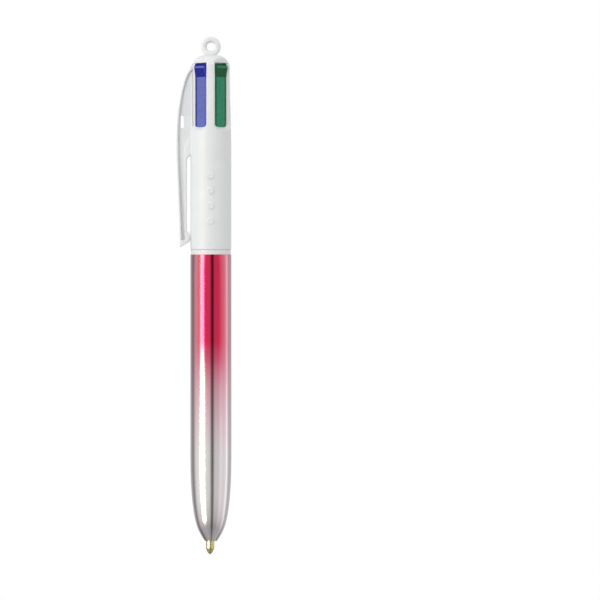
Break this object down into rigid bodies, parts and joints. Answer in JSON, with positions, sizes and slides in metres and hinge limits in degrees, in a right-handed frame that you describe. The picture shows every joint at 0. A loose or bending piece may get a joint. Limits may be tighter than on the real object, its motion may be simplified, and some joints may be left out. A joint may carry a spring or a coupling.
{
  "type": "multicolour retractable ballpoint pen",
  "caption": "Retractable multicolour ballpoint pen: thumb sliders push out their coloured refills; pocket clip, lanyard ring and a lower barrel that screws off.",
  "frame": {"origin": "the writing point of the refill that is out, on the barrel's axis", "axes": "+Z along the barrel's axis from the writing point up to the ring; the pocket clip is on the -X side; the ring's hole runs along Y"},
  "size_m": [0.0153, 0.0116, 0.1445],
  "materials": {
    "white_plastic": "glossy white moulded plastic",
    "barrel_metallised": "metallised and lacquered: raspberry at the joint, fading to silver at the nose",
    "inner_plastic": "natural unpolished plastic",
    "slider_black": "glossy black",
    "slider_red": "glossy red",
    "slider_blue": "glossy dark blue",
    "slider_green": "glossy dark green",
    "spring_steel": "bright drawn wire",
    "refill_plastic": "translucent natural tube",
    "brass_tip": "turned brass",
    "ball_carbide": "polished hard metal",
    "ink_black": "ink paste seen through the tube",
    "ink_red": "ink paste seen through the tube",
    "ink_blue": "ink paste seen through the tube",
    "ink_green": "ink paste seen through the tube"
  },
  "bodies": {
    "upper_body": {"upper_barrel": "white_plastic", "threaded_collar": "white_plastic", "clip_root": "white_plastic", "lanyard_ring": "white_plastic", "latch_post": "inner_plastic", "spring_seat": "inner_plastic", "spring_black": "spring_steel", "spring_red": "spring_steel", "spring_blue": "spring_steel", "spring_green": "spring_steel"},
    "clip_arm": {"clip_arm": "white_plastic"},
    "lower_barrel": {"lower_barrel": "barrel_metallised"},
    "slider_black": {"slider_black": "slider_black"},
    "refill_black": {"refill_tube_black": "refill_plastic", "ink_black": "ink_black", "refill_tip_black": "brass_tip", "ball_black": "ball_carbide"},
    "slider_red": {"slider_red": "slider_red"},
    "refill_red": {"refill_tube_red": "refill_plastic", "ink_red": "ink_red", "refill_tip_red": "brass_tip", "ball_red": "ball_carbide"},
    "slider_blue": {"slider_blue": "slider_blue"},
    "refill_blue": {"refill_tube_blue": "refill_plastic", "ink_blue": "ink_blue", "refill_tip_blue": "brass_tip", "ball_blue": "ball_carbide"},
    "slider_green": {"slider_green": "slider_green"},
    "refill_green": {"refill_tube_green": "refill_plastic", "ink_green": "ink_green", "refill_tip_green": "brass_tip", "ball_green": "ball_carbide"}
  },
  "joints": [
    {"name": "clip_flex", "type": "hinge", "parent": "upper_body", "child": "clip_arm", "pos_m": [-0.00805, 0, 0.112], "axis": [0, 1, 0], "range_deg": [0, 6], "stiffness_Nm_per_rad": 0.6},
    {"name": "lower_barrel_draw", "type": "slide", "parent": "upper_body", "child": "lower_barrel", "axis": [0, 0, 1], "range_m": [-0.085, 0]},
    {"name": "slider_black_slide", "type": "slide", "parent": "upper_body", "child": "slider_black", "axis": [0, 0, -1], "range_m": [-0.01, 0], "deforming": ["spring_black"]},
    {"name": "refill_black_lean", "type": "hinge", "parent": "slider_black", "child": "refill_black", "pos_m": [0.00205, 0.00205, 0.1053], "axis": [-0.7071, 0.7071, 0], "range_deg": [-1.78, 0], "deforming": ["refill_tube_black", "ink_black", "refill_tip_black", "ball_black"]},
    {"name": "slider_red_slide", "type": "slide", "parent": "upper_body", "child": "slider_red", "axis": [0, 0, -1], "range_m": [0, 0.01], "stiffness_N_per_m": 150, "springref_m": -0.01, "deforming": ["spring_red"]},
    {"name": "refill_red_lean", "type": "hinge", "parent": "slider_red", "child": "refill_red", "pos_m": [-0.00205, 0.00205, 0.1153], "axis": [-0.7071, -0.7071, 0], "range_deg": [0, 1.78], "deforming": ["refill_tube_red", "ink_red", "refill_tip_red", "ball_red"]},
    {"name": "slider_blue_slide", "type": "slide", "parent": "upper_body", "child": "slider_blue", "axis": [0, 0, -1], "range_m": [0, 0.01], "stiffness_N_per_m": 150, "springref_m": -0.01, "deforming": ["spring_blue"]},
    {"name": "refill_blue_lean", "type": "hinge", "parent": "slider_blue", "child": "refill_blue", "pos_m": [-0.00205, -0.00205, 0.1153], "axis": [0.7071, -0.7071, 0], "range_deg": [0, 1.78], "deforming": ["refill_tube_blue", "ink_blue", "refill_tip_blue", "ball_blue"]},
    {"name": "slider_green_slide", "type": "slide", "parent": "upper_body", "child": "slider_green", "axis": [0, 0, -1], "range_m": [0, 0.01], "stiffness_N_per_m": 150, "springref_m": -0.01, "deforming": ["spring_green"]},
    {"name": "refill_green_lean", "type": "hinge", "parent": "slider_green", "child": "refill_green", "pos_m": [0.00205, -0.00205, 0.1153], "axis": [0.7071, 0.7071, 0], "range_deg": [0, 1.78], "deforming": ["refill_tube_green", "ink_green", "refill_tip_green", "ball_green"]}
  ],
  "couplings": [
    {"joint": "refill_black_lean", "follows": "slider_black_slide", "rad_per_m": 3.0854},
    {"joint": "refill_red_lean", "follows": "slider_red_slide", "rad_per_m": 3.0854},
    {"joint": "refill_blue_lean", "follows": "slider_blue_slide", "rad_per_m": 3.0854},
    {"joint": "refill_green_lean", "follows": "slider_green_slide", "rad_per_m": 3.0854}
  ]
}
